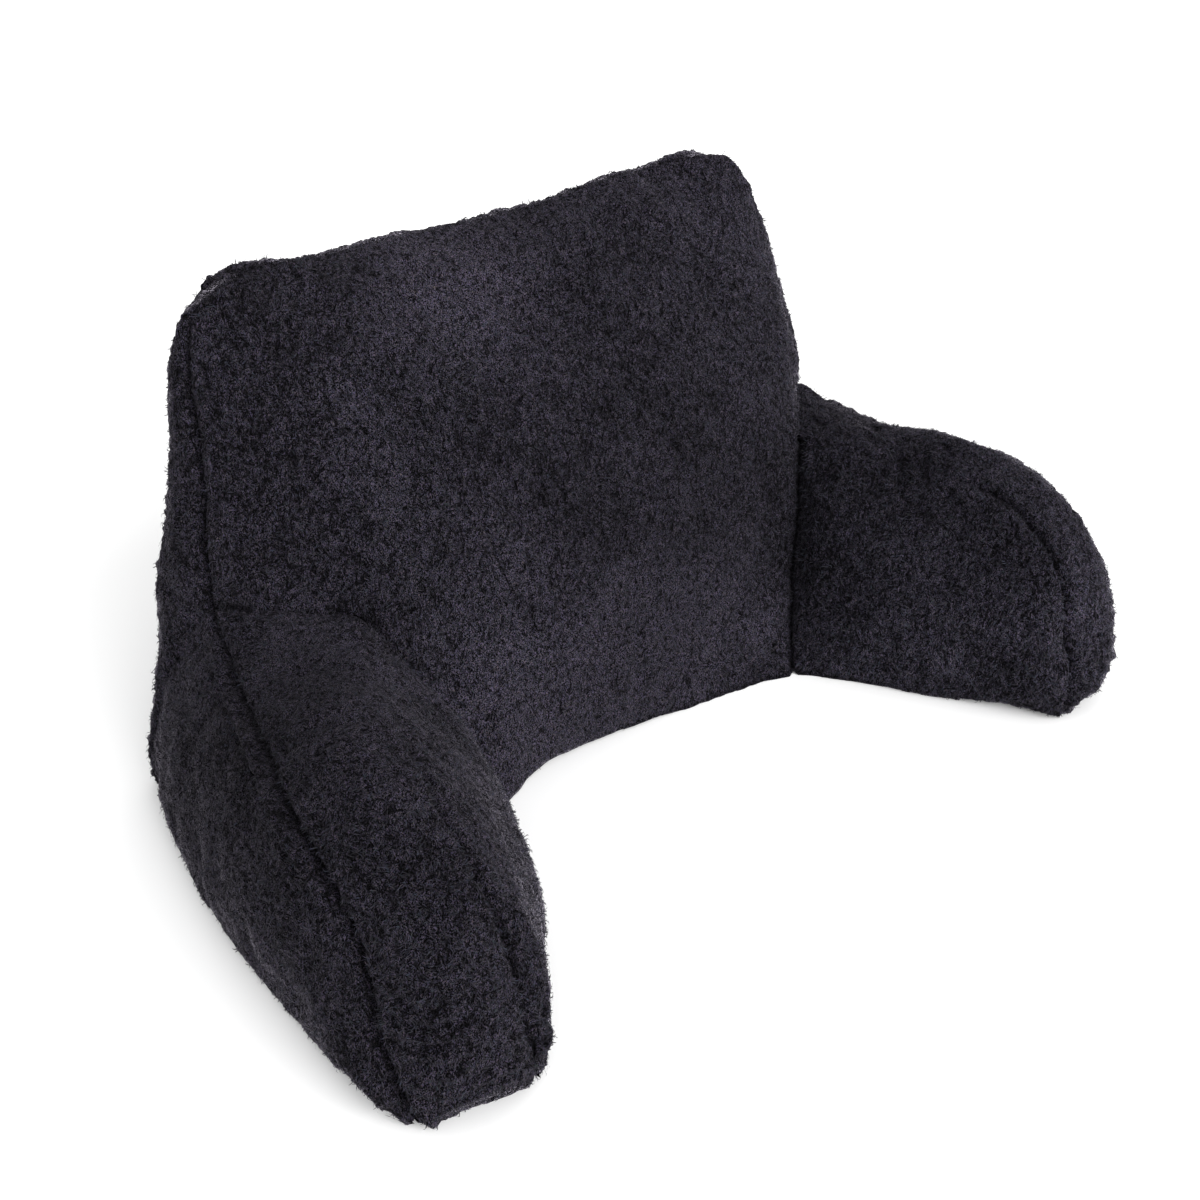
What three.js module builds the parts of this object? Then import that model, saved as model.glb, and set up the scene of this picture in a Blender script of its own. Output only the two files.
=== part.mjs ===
// Cuddle cushion: a wedge-shaped backrest and two splayed arms, three filled fleece bodies
// sewn edge to edge. Millimetres, +Z up. X runs across the cushion, the seat side faces -Y,
// and the underside is flat at Z = 0. Every size reaches to the tips of the pile.
import * as THREE from "three";
import { mergeVertices } from "three/addons/utils/BufferGeometryUtils.js";

// Driving dimensions
const HEIGHT = 402; // underside to the highest point of the backrest
const SEAT_HALF_WIDTH = 156; // middle to the root of an arm, at the underside
const ROOT_HEIGHT = 182; // underside to the seam where an arm's gusset meets the front panel
const SEWING_GAP = 0.3; // between an arm and the backrest
const TOP_SAG = 14; // how far the middle of the top edge hangs below its ends
const TOP_SAG_REACH = 240; // from the middle to where that sag ends
const UNDER_ROLL = 13; // how far the underside draws in from the widest line above it
const UNDER_ROLL_POWER = 9;
const UNDER_ROLL_ENDS = 4; // how late the front's roll fades towards the arms

// How far each panel swells past the straight lines between its seams, and how sharply it leaves them
const SWELL_SIDE = 11;
const SIDE_CORNER_SWELL = 8;
const SWELL_INNER = 30;
const SWELL_GUSSET = 15;
const SWELL_POWER = 2.3;
const FRONT_SECTION_POWER = 3; // squareness of the front panel's plan above the arms
const FRONT_SECTION_ROOT = 0.52;
const ROOT_BLEND = 70; // height over which the front panel fills out above the root seam

// The face where an arm is sewn to the backrest is upright. It runs through the two ends of
// the seam between the arm's gusset and the front panel, out to a given X at the underside.
const ROOT_INNER = [228, 68];
const ROOT_OUTER = [308, 149];
const ROOT_OUTER_FOOT_X = 361;
const ROOT_SLOPE = (ROOT_OUTER[1] - ROOT_INNER[1]) / (ROOT_OUTER[0] - ROOT_INNER[0]);

// The backrest, a row for each height: the rear corner in plan, and the Y of the front and
// back panels at X = 0
const BACKREST_ROWS = [
  { z: 0, corner: [345, 222], front: 12, back: 230 },
  { z: 60, corner: [340, 224], front: 22, back: 237 },
  { z: 120, corner: [330, 222], front: 37, back: 240 },
  { z: 182, corner: [314, 218], front: 54, back: 240 },
  { z: 239, corner: [298, 220], front: 86, back: 239 },
  { z: 292, corner: [282, 223], front: 120, back: 238 },
  { z: 344, corner: [264, 227], front: 161, back: 237 },
  { z: 380, corner: [246, 229], front: 191, back: 236 },
  { z: 394, corner: [230, 228], front: 203, back: 233 },
  { z: 402, corner: [204, 223], front: 215, back: 225 },
];
const ROOT_ROW = 3; // the row at ROOT_HEIGHT

// The seam between the front panel and the side, above the arm
const SIDE_SEAM_ROWS = [
  { z: 182, seam: ROOT_OUTER },
  { z: 239, seam: [298, 161] },
  { z: 292, seam: [286, 173] },
  { z: 344, seam: [275, 190] },
  { z: 380, seam: [260, 204] },
  { z: 394, seam: [245, 209] },
  { z: 402, seam: [206, 217] },
];

// The right arm, a row for each station from its root to its round end. inner and outer are
// the gusset's two seams; innerFoot and outerFoot are the plan places where its two faces
// meet the underside.
const ARM_ROWS = [
  {
    inner: [...ROOT_INNER, ROOT_HEIGHT],
    outer: [...ROOT_OUTER, ROOT_HEIGHT],
    innerFoot: onRootFace(SEAT_HALF_WIDTH),
    outerFoot: onRootFace(ROOT_OUTER_FOOT_X),
  },
  { inner: [252, 8, 176], outer: [327, 80, 163], innerFoot: [188, -55], outerFoot: [382, 130] },
  { inner: [273, -57, 177], outer: [345, 8, 159], innerFoot: [219, -107], outerFoot: [393, 50] },
  { inner: [289, -122, 169], outer: [361, -63, 152], innerFoot: [250, -155], outerFoot: [395, -36] },
  { inner: [292, -177, 136], outer: [366, -129, 126], innerFoot: [271, -190], outerFoot: [389, -113] },
  { inner: [290, -203, 71], outer: [374, -168, 71], innerFoot: [280, -206], outerFoot: [380, -165] },
  { inner: [285, -213, 7], outer: [370, -192, 7], innerFoot: [285, -213], outerFoot: [370, -192] },
];
const ARM_DRAWN_IN = 0.22; // share of an arm's length over which it swells out from the root seam
const ARM_END_DRAWN_IN = 0.1; // and over which it draws in again to the underside at its end
const INNER_FULLEST = 0.6; // below 1 the inner face is fullest nearer the root than the end

// Mesh density
const ARM_STEPS = 32;
const ARM_BASE_STEPS = 4;
const ARM_FACE_STEPS = 9;
const ARM_GUSSET_STEPS = 9;
const LOWER_LEVELS = 14;
const UPPER_LEVELS = 22;
const LOWER_SPACING = 1.25; // above 1 the levels lie closer near the underside
const FRONT_STEPS = 12;
const ROOT_STEPS = 7;
const SIDE_STEPS = 5;
const BACK_STEPS = 12;

const FLEECE = { color: 0x23212a, roughness: 1, metalness: 0 };

// 0 at both ends of a panel and 1 in its middle
function swell(share) {
  return 1 - Math.abs(2 * share - 1) ** SWELL_POWER;
}

// 0 at the start, rising to 1 once share has passed reach
function fillOut(share, reach) {
  return 1 - (1 - Math.min(1, share / reach)) ** 2;
}

// How far a face draws in near the underside, where height is the share of the face's own height
function underRoll(height) {
  return UNDER_ROLL * (1 - height) ** UNDER_ROLL_POWER;
}

function plan(place, z = 0) {
  return new THREE.Vector3(place[0], place[1], z);
}

// Joins closed rings of equally many points into one body with faceted ends
function loft(rings) {
  const count = rings[0].length;
  const points = rings.flat();
  const faces = [];
  for (let ring = 0; ring < rings.length - 1; ring += 1) {
    for (let i = 0; i < count; i += 1) {
      const a = ring * count + i;
      const b = ring * count + ((i + 1) % count);
      faces.push(a, b, b + count, a, b + count, a + count);
    }
  }
  for (const ring of [0, rings.length - 1]) {
    const middle = new THREE.Vector3();
    rings[ring].forEach((p) => middle.addScaledVector(p, 1 / count));
    points.push(middle);
    for (let i = 0; i < count; i += 1) {
      const a = ring * count + i;
      const b = ring * count + ((i + 1) % count);
      faces.push(points.length - 1, ...(ring === 0 ? [b, a] : [a, b]));
    }
  }
  const geometry = new THREE.BufferGeometry().setFromPoints(points);
  geometry.setIndex(faces);
  return geometry;
}

// The same body on the other side of the middle plane
function mirrored(geometry) {
  const copy = geometry.clone();
  copy.scale(-1, 1, 1);
  const index = copy.getIndex();
  for (let i = 0; i < index.count; i += 3) {
    const second = index.getX(i + 1);
    index.setX(i + 1, index.getX(i + 2));
    index.setX(i + 2, second);
  }
  return copy;
}

// The place in plan where the sewn face between arm and backrest has this X
function onRootFace(x) {
  return [x, ROOT_INNER[1] + (x - ROOT_INNER[0]) * ROOT_SLOPE];
}

// The direction of the sewn face in plan, from the seat to the outside
function rootDirection() {
  return plan(ROOT_OUTER).sub(plan(ROOT_INNER)).normalize();
}

// The outside of the sewn face, where arm and backrest share the outer panel, at a share of its height
function rootOutside(share) {
  const foot = plan(onRootFace(ROOT_OUTER_FOOT_X));
  const top = plan(ROOT_OUTER, ROOT_HEIGHT);
  const bulge = SWELL_SIDE * swell(share) - underRoll(share);
  return foot.lerp(top, share).addScaledVector(rootDirection(), bulge);
}

// One panel of an arm's ring, from start towards end, pushed out along one direction
function ringSide(start, end, steps, direction, amount) {
  const side = [];
  for (let i = 0; i < steps; i += 1) {
    const share = i / steps;
    side.push(start.clone().lerp(end, share).addScaledVector(direction, amount(share)));
  }
  return side;
}

function armRing(curves, t) {
  const inner = curves.inner.getPoint(t);
  const outer = curves.outer.getPoint(t);
  const innerFoot = curves.innerFoot.getPoint(t);
  const outerFoot = curves.outerFoot.getPoint(t);
  const across = outer.clone().sub(inner).setZ(0).normalize();
  const up = curves.middle.getTangent(t).cross(across).normalize();
  const drawnIn = fillOut(t, ARM_DRAWN_IN);
  const end = fillOut(1 - t, ARM_END_DRAWN_IN);
  const innerFullness = SWELL_INNER * swell(t ** INNER_FULLEST);
  const innerBulge = (share) => underRoll(share) * end - innerFullness * swell(share);
  const outerBulge = (share) => (SWELL_SIDE * swell(share) - underRoll(share)) * end;
  const gussetBulge = (share) => SWELL_GUSSET * swell(share) * drawnIn * end;
  const innerEdge = innerFoot.clone().addScaledVector(across, innerBulge(0));
  const outerEdge = outerFoot.clone().addScaledVector(across, outerBulge(0));
  const outerFace = (share) => outerBulge(1 - share);
  return [
    ...ringSide(outerEdge, innerEdge, ARM_BASE_STEPS, across, () => 0),
    ...ringSide(innerFoot, inner, ARM_FACE_STEPS, across, innerBulge),
    ...ringSide(inner, outer, ARM_GUSSET_STEPS, up, gussetBulge),
    ...ringSide(outer, outerFoot, ARM_FACE_STEPS, across, outerFace),
  ];
}

function armGeometry() {
  const column = (name) => ARM_ROWS.map((row) => plan(row[name], row[name][2]));
  const middle = column("inner").map((place, i) => place.lerp(column("outer")[i], 0.5));
  const through = (points) => new THREE.CatmullRomCurve3(points, false, "catmullrom");
  const curves = {
    inner: through(column("inner")),
    outer: through(column("outer")),
    innerFoot: through(column("innerFoot")),
    outerFoot: through(column("outerFoot")),
    middle: through(middle),
  };
  const rings = [];
  for (let i = 0; i <= ARM_STEPS; i += 1) {
    rings.push(armRing(curves, i / ARM_STEPS));
  }
  const normal = rootDirection().cross(new THREE.Vector3(0, 0, 1));
  rings[0].forEach((p) => p.addScaledVector(normal, SEWING_GAP));
  return loft(rings.reverse());
}

// A table as a smooth function of height. values gives a row's numbers, count how many there are.
function smoothTable(rows, count, values) {
  const heights = rows.map((row) => row.z);
  const table = new THREE.CubicInterpolant(heights, rows.flatMap(values), count);
  return (z) => table.evaluate(z);
}

// The backrest's outline as a function of height
function backrestAt() {
  const body = smoothTable(BACKREST_ROWS, 4, (row) => [...row.corner, row.front, row.back]);
  const seam = smoothTable(SIDE_SEAM_ROWS, 2, (row) => row.seam);
  return (z) => {
    const [cornerX, cornerY, front, back] = body(z);
    const [seamX, seamY] = seam(Math.max(z, ROOT_HEIGHT));
    return { edge: plan([seamX, seamY], z), corner: plan([cornerX, cornerY], z), front, back };
  };
}

// The right half of the front below the root seam: the front panel to the arm's root, then the sewn face
function frontBelow(row, z) {
  const share = z / ROOT_HEIGHT;
  const root = plan(onRootFace(SEAT_HALF_WIDTH), z).lerp(plan(ROOT_INNER, z), share);
  const outside = rootOutside(share).setZ(z);
  const roll = underRoll(share);
  const line = [];
  for (let i = 0; i < FRONT_STEPS; i += 1) {
    const x = i / FRONT_STEPS;
    const y = root.y + (row.front - root.y) * (1 - x ** SWELL_POWER);
    line.push(new THREE.Vector3(root.x * x, y + roll * (1 - x ** UNDER_ROLL_ENDS), z));
  }
  for (let i = 0; i < ROOT_STEPS; i += 1) {
    line.push(root.clone().lerp(outside, i / ROOT_STEPS));
  }
  line.push(outside);
  return line;
}

// The right half of the front above the root seam, one panel from the middle to the side seam
function frontAbove(row, z) {
  const [seamX, seamY] = ROOT_OUTER;
  const rootShare = ROOT_INNER[0] / seamX;
  const rootDepth = (seamY - ROOT_INNER[1]) / (seamY - BACKREST_ROWS[ROOT_ROW].front);
  const filled = fillOut(z - ROOT_HEIGHT, ROOT_BLEND);
  const depth = row.edge.y - row.front;
  const line = [];
  for (let i = 0; i <= FRONT_STEPS + ROOT_STEPS; i += 1) {
    const beyond = Math.max(0, i - FRONT_STEPS) / ROOT_STEPS;
    const share = i < FRONT_STEPS ? (i / FRONT_STEPS) * rootShare : rootShare + beyond * (1 - rootShare);
    const full = Math.max(0, 1 - share ** FRONT_SECTION_POWER) ** FRONT_SECTION_ROOT;
    const within = Math.min(1, i / FRONT_STEPS);
    const sewn = (1 - (1 - rootDepth) * within ** SWELL_POWER) * (1 - beyond);
    const sectionDepth = depth * (sewn + (full - sewn) * filled);
    line.push(new THREE.Vector3(row.edge.x * share, row.edge.y - sectionDepth, z));
  }
  return line;
}

// The right half of the side and the back, from the front panel's edge to the middle of the back
function sideAndBack(row, z, from) {
  const roll = underRoll(Math.min(1, z / ROOT_HEIGHT));
  const corner = row.corner.clone().setZ(z);
  const outwards = new THREE.Vector3(1, 0, 0);
  const narrow = Math.min(1, (HEIGHT - z) / ROOT_BLEND);
  const line = [];
  for (let i = 1; i < SIDE_STEPS; i += 1) {
    const share = i / SIDE_STEPS;
    const bulge = SIDE_CORNER_SWELL * swell(share) * narrow - roll * share;
    line.push(from.clone().lerp(corner, share).addScaledVector(outwards, bulge));
  }
  for (let i = 0; i <= BACK_STEPS; i += 1) {
    const x = 1 - i / BACK_STEPS;
    const y = corner.y + (row.back - corner.y) * (1 - x ** SWELL_POWER) - roll;
    line.push(new THREE.Vector3((corner.x - roll) * x, y, z));
  }
  return line;
}

function backrestRing(at, z) {
  const row = at(z);
  const front = z <= ROOT_HEIGHT ? frontBelow(row, z) : frontAbove(row, z);
  const right = [...front, ...sideAndBack(row, z, front[front.length - 1])];
  const left = right.slice(1, -1).map((p) => new THREE.Vector3(-p.x, p.y, p.z));
  const ring = [...right, ...left.reverse()];
  const sag = TOP_SAG * (z / HEIGHT) ** 3;
  ring.forEach((p) => {
    p.z -= sag * Math.max(0, 1 - (p.x / TOP_SAG_REACH) ** 2);
  });
  return ring;
}

function backrestGeometry() {
  const at = backrestAt();
  const rings = [];
  for (let i = 0; i <= LOWER_LEVELS; i += 1) {
    rings.push(backrestRing(at, ROOT_HEIGHT * (i / LOWER_LEVELS) ** LOWER_SPACING));
  }
  for (let i = 1; i <= UPPER_LEVELS; i += 1) {
    const rise = Math.sin((i / UPPER_LEVELS) * Math.PI / 2);
    rings.push(backrestRing(at, ROOT_HEIGHT + (HEIGHT - ROOT_HEIGHT) * rise));
  }
  return loft(rings);
}

function piece(name, geometry) {
  const mesh = new THREE.Mesh(mergeVertices(geometry), new THREE.MeshStandardMaterial(FLEECE));
  mesh.name = name;
  return mesh;
}

// Puts the origin under the middle of the whole box
function centred(cushion) {
  const middle = new THREE.Box3().setFromObject(cushion).getCenter(new THREE.Vector3());
  cushion.position.y = -middle.y;
  cushion.updateMatrixWorld(true);
  return cushion;
}

const arm = armGeometry();
const cushion = new THREE.Group();
cushion.add(piece("backrest", backrestGeometry()));
cushion.add(piece("arm_right", arm));
cushion.add(piece("arm_left", mirrored(arm)));

export default centred(cushion);
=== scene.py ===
"""Cuddle cushion: a wedge backrest and two splayed arms in a dark, curly teddy fleece.

Metres, +Z up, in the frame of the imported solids: X across, the seat side faces -Y.
"""
import math

import bpy
import numpy as np
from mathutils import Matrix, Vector, kdtree


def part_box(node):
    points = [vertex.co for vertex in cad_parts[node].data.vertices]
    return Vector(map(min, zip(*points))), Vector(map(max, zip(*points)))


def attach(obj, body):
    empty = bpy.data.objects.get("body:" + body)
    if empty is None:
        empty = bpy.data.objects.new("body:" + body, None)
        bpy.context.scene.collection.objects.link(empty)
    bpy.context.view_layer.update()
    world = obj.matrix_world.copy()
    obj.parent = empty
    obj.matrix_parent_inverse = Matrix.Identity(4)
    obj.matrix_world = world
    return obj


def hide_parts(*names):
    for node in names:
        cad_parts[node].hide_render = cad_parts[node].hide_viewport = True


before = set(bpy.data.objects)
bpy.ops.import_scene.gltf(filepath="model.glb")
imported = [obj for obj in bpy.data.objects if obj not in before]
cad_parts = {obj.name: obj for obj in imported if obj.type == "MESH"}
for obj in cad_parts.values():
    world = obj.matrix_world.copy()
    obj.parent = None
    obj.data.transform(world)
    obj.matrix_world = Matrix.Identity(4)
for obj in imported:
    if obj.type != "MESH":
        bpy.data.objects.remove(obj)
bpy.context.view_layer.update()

# The cushion's driving sizes, as its solids have them
HEIGHT = 0.402
SEAT_HALF_WIDTH = 0.156
ROOT_HEIGHT = 0.182
TOP_SAG = 0.0108
TOP_SAG_REACH = 0.240
UNDER_ROLL, UNDER_ROLL_POWER, UNDER_ROLL_ENDS = 0.005, 9, 4
SWELL_SIDE = 0.011
SIDE_CORNER_SWELL = 0.008
SWELL_INNER = 0.030
SWELL_GUSSET = 0.0245
SWELL_POWER = 2.3
FRONT_SECTION_POWER, FRONT_SECTION_ROOT = 3, 0.52
ROOT_BLEND = 0.070
BAND_TOP = 0.385  # height of the seam between the top strip and the back panel
BAND_NOSE = 0.0065  # how far the top strip swells
BAND_NOSE_WAY = np.array([0, 0.63, 0.777])  # and which way
# Rows before the top corner where that way starts to take over from sideways, and rows it takes
BAND_TURN_EARLY, BAND_TURN_ROWS = 6, 10
# From the tables below, whose greatest Y is 0.240, to the solids' frame
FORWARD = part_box("backrest")[1].y - 0.240

# The upright face where an arm is sewn to the backrest, in plan
ROOT_INNER = np.array([0.228, 0.068])
ROOT_OUTER = np.array([0.308, 0.149])
ROOT_OUTER_FOOT_X = 0.361
ROOT_SLOPE = (ROOT_OUTER[1] - ROOT_INNER[1]) / (ROOT_OUTER[0] - ROOT_INNER[0])

# The backrest at each height, in mm: rear corner X and Y, then the Y of front and back panels at X = 0
BACKREST_ROWS = np.array([
    # height, corner x, corner y, front, back
    [0, 345, 222, 12, 230], [60, 335, 221, 22, 237], [120, 322, 218, 37, 240], [182, 313, 218, 54, 240],
    [239, 298, 220, 86, 239], [292, 282, 223, 120, 238], [344, 267, 227, 161, 237],
    [380, 249, 229, 191, 236], [394, 230, 228, 203, 233], [402, 196, 223, 215, 225],
]) / 1000

# The seam between the front panel and the side, above the arm, in mm
SIDE_SEAM_ROWS = np.array([
    # height, x, y
    [182, 308, 149], [239, 298, 161], [292, 286, 173], [344, 279, 190],
    [380, 264, 204], [394, 245, 209], [402, 198, 217],
]) / 1000

# The right arm from its root to its round end: the gusset's two seams, in mm
ARM_SEAM_ROWS = np.array([
    # inner x, y, z, outer x, y, z
    [228, 68, 182, 308, 149, 182], [252, 8, 176, 327, 80, 163],
    [273, -57, 177, 345, 8, 159], [289, -122, 169, 361, -63, 152],
    [292, -177, 136, 366, -129, 126], [290, -203, 71, 374, -168, 71],
    [285, -213, 7, 370, -192, 7],
]) / 1000
# and, past its root, where its two faces meet the underside, in mm
ARM_FOOT_ROWS = np.array([
    # inner x, y, outer x, y
    [188, -55, 382, 130], [219, -107, 393, 50], [250, -155, 395, -36],
    [271, -190, 389, -113], [280, -206, 380, -165], [285, -213, 370, -192],
]) / 1000
ARM_DRAWN_IN, ARM_END_DRAWN_IN = 0.65, 0.1  # share of its length at each end where an arm fills out
INNER_FULLEST = 0.6
INNER_ROLL_START = 0.08  # share of an arm's length over which its inner face starts to roll under
TOE_ROLL = 0.001  # how far the arm's end draws in at the floor
UNDER_TOE_POWER = 12  # how late its underside takes the shape of the round end

# Mesh steps before refining
LOW_ROWS, UP_ROWS = 27, 39
FRONT_COLUMNS, ROOT_COLUMNS, SIDE_COLUMNS = 30, 16, 10
ARM_STATION_STEPS = 10
REFINE = 4
ARM_ROWS = ARM_STATION_STEPS * (len(ARM_SEAM_ROWS) - 1)
LINE_SAMPLES = 600

HANDS = ("right", "left")
UP = np.array([0.0, 0.0, 1.0])
MIRROR = np.array([-1.0, 1.0, 1.0])


def steps(count):
    """From 0 to 1 in that many equal steps."""
    return np.linspace(0, 1, count + 1)


def smooth_step(t):
    """0 up to 0 and 1 from 1 on, with a smooth rise between."""
    t = np.clip(t, 0, 1)
    return t * t * (3 - 2 * t)


def nearness(places, middle, reach):
    """1 at a place, falling off smoothly around it."""
    return np.exp(-((places - middle) ** 2).sum(1) / reach ** 2)


def swell(share):
    """0 at both ends of a panel and 1 in its middle."""
    return 1 - np.abs(2 * share - 1) ** SWELL_POWER


def fill_out(share, reach):
    """0 at the start, rising to 1 once share has passed reach."""
    return 1 - (1 - np.minimum(1, share / reach)) ** 2


def under_roll(height):
    """How far a face draws in near the underside."""
    return UNDER_ROLL * (1 - height) ** UNDER_ROLL_POWER


def refined(rows, factor, before=None, after=None):
    """Smooth points between the rows of an array, with factor steps for each."""
    first = 2 * rows[0] - rows[1] if before is None else before
    last = 2 * rows[-1] - rows[-2] if after is None else after
    p = np.concatenate([first[None], rows, last[None]])
    t = (np.arange(factor) / factor).reshape((1, factor) + (1,) * (rows.ndim - 1))
    a, b, c, d = (p[i:len(p) - 3 + i, None] for i in range(4))
    bend = (2 * a - 5 * b + 4 * c - d) * t ** 2 + (3 * b - a - 3 * c + d) * t ** 3
    between = b + ((c - a) * t + bend) / 2
    return np.concatenate([between.reshape((-1,) + rows.shape[1:]), rows[-1:]])


def smooth_table(table, at):
    """The columns of a table as smooth functions of its first column."""
    x, y = table[:, 0], table[:, 1:]
    slope = np.diff(y, axis=0) / np.diff(x)[:, None]
    tangent = np.concatenate([slope[:1], (y[2:] - y[:-2]) / (x[2:] - x[:-2])[:, None], slope[-1:]])
    at = np.asarray(at, float)
    i = np.clip(np.searchsorted(x, at, side="right") - 1, 0, len(x) - 2)
    h = (x[i + 1] - x[i])[..., None]
    t = (at - x[i])[..., None] / h
    start = (1 + 2 * t) * (1 - t) ** 2 * y[i] + t * (1 - t) ** 2 * h * tangent[i]
    end = t ** 2 * (3 - 2 * t) * y[i + 1] + t ** 2 * (t - 1) * h * tangent[i + 1]
    return start + end


def on_root_face(x):
    return np.array([x, ROOT_INNER[1] + (x - ROOT_INNER[0]) * ROOT_SLOPE])


def with_height(plan, z):
    heights = np.broadcast_to(np.asarray(z, float)[..., None], plan.shape[:-1] + (1,))
    return np.concatenate([plan, heights], -1)


def sagged(points):
    """The middle of the top edge hangs a little."""
    x, z = points[..., 0], points[..., 2]
    drop = TOP_SAG * (z / HEIGHT) ** 3 * np.maximum(0, 1 - (x / TOP_SAG_REACH) ** 2)
    return points - drop[..., None] * UP


def even_heights(line):
    """Heights above the arms' roots that divide a line, a function of height, into equal lengths."""
    z = np.linspace(ROOT_HEIGHT, HEIGHT, LINE_SAMPLES)
    along = np.concatenate([[0], np.cumsum(np.linalg.norm(np.diff(line(z), axis=0), axis=1))])
    return np.interp(np.linspace(0, along[-1], UP_ROWS + 1), along, z)


def front_lower():
    """The right half of the front panel between the arms, a row for each height."""
    height = steps(LOW_ROWS)[:, None]
    x = steps(FRONT_COLUMNS)[None]
    front = smooth_table(BACKREST_ROWS, height * ROOT_HEIGHT)[..., 2]
    root = on_root_face(SEAT_HALF_WIDTH) * (1 - height) + ROOT_INNER * height
    y = root[:, 1:] + (front - root[:, 1:]) * (1 - x ** SWELL_POWER)
    y = y + under_roll(height) * (1 - x ** UNDER_ROLL_ENDS)
    return np.stack([root[:, :1] * x, y, height * ROOT_HEIGHT + 0 * x], -1)


def front_upper():
    """The right half of the front panel above the arms' root seams."""
    middle = even_heights(lambda z: np.stack([smooth_table(BACKREST_ROWS, z)[:, 2], z], -1))
    edge = even_heights(lambda z: with_height(smooth_table(SIDE_SEAM_ROWS, z), z))
    root_share = ROOT_INNER[0] / ROOT_OUTER[0]
    within = np.minimum(1, np.arange(FRONT_COLUMNS + ROOT_COLUMNS + 1) / FRONT_COLUMNS)
    beyond = np.maximum(0, np.arange(-FRONT_COLUMNS, ROOT_COLUMNS + 1)) / ROOT_COLUMNS
    share = within * root_share + beyond * (1 - root_share)
    z = middle[:, None] + (edge - middle)[:, None] * share ** 2
    front = smooth_table(BACKREST_ROWS, z)[..., 2]
    seam = smooth_table(SIDE_SEAM_ROWS, z)
    root_depth = (ROOT_OUTER[1] - ROOT_INNER[1]) / (ROOT_OUTER[1] - front[0, 0])
    full = np.maximum(0, 1 - share ** FRONT_SECTION_POWER) ** FRONT_SECTION_ROOT
    sewn = (1 - (1 - root_depth) * within ** SWELL_POWER) * (1 - beyond)
    depth = (seam[..., 1] - front) * (sewn + (full - sewn) * fill_out(z - ROOT_HEIGHT, ROOT_BLEND))
    return np.stack([seam[..., 0] * share, seam[..., 1] - depth, z], -1)


def root_outside():
    """The line where the arm's outer face goes on into the side of the backrest, from the floor up."""
    share = steps(LOW_ROWS)[:, None]
    outwards = (ROOT_OUTER - ROOT_INNER) / np.linalg.norm(ROOT_OUTER - ROOT_INNER)
    plan = on_root_face(ROOT_OUTER_FOOT_X) * (1 - share) + ROOT_OUTER * share
    plan = plan + (SWELL_SIDE * swell(share) - under_roll(share)) * outwards
    return with_height(plan, share[:, 0] * ROOT_HEIGHT)


def side_lower():
    """The side of the backrest below the arm's root seam, from the arm to the rear corner."""
    start = root_outside()[:, None]
    z = start[..., 2]
    corner = with_height(smooth_table(BACKREST_ROWS, z)[..., :2], z)
    share = steps(SIDE_COLUMNS)[None]
    roll = under_roll(z / ROOT_HEIGHT) * share
    line = start + (corner - start) * share[..., None]
    line[..., 0] += SIDE_CORNER_SWELL * swell(share) - roll
    line[..., 1] -= roll
    return line


def back():
    """The right half of the back panel, from the rear corner to the middle, a row for each height."""
    low = np.linspace(0, ROOT_HEIGHT, LOW_ROWS + 1)
    z = np.concatenate([low, np.linspace(ROOT_HEIGHT, BAND_TOP, UP_ROWS + 1)[1:]])[:, None]
    row = smooth_table(BACKREST_ROWS, z)
    roll = under_roll(np.minimum(1, z / ROOT_HEIGHT))
    x = np.linspace(1, 0, FRONT_COLUMNS + ROOT_COLUMNS + 1)[None]
    y = row[..., 1] + (row[..., 3] - row[..., 1]) * (1 - x ** SWELL_POWER) - roll
    return np.stack([(row[..., 0] - roll) * x, y, z + 0 * x], -1)


def band(front, rear):
    """The strip between the front and back panels, up the side and over the top to its middle."""
    start = np.concatenate([front[:, -1], front[-1, -2::-1]])[:, None]
    end = np.concatenate([rear[LOW_ROWS:, 0], rear[-1, 1:]])[:, None]
    share = steps(SIDE_COLUMNS)[None, :, None]
    turn = smooth_step((np.arange(len(start)) - UP_ROWS + BAND_TURN_EARLY) / BAND_TURN_ROWS)[:, None, None]
    side = np.array([SIDE_CORNER_SWELL, 0, 0])
    over = BAND_NOSE_WAY * BAND_NOSE
    return start + (end - start) * share + swell(share) * (side * (1 - turn) + over * turn)


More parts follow.
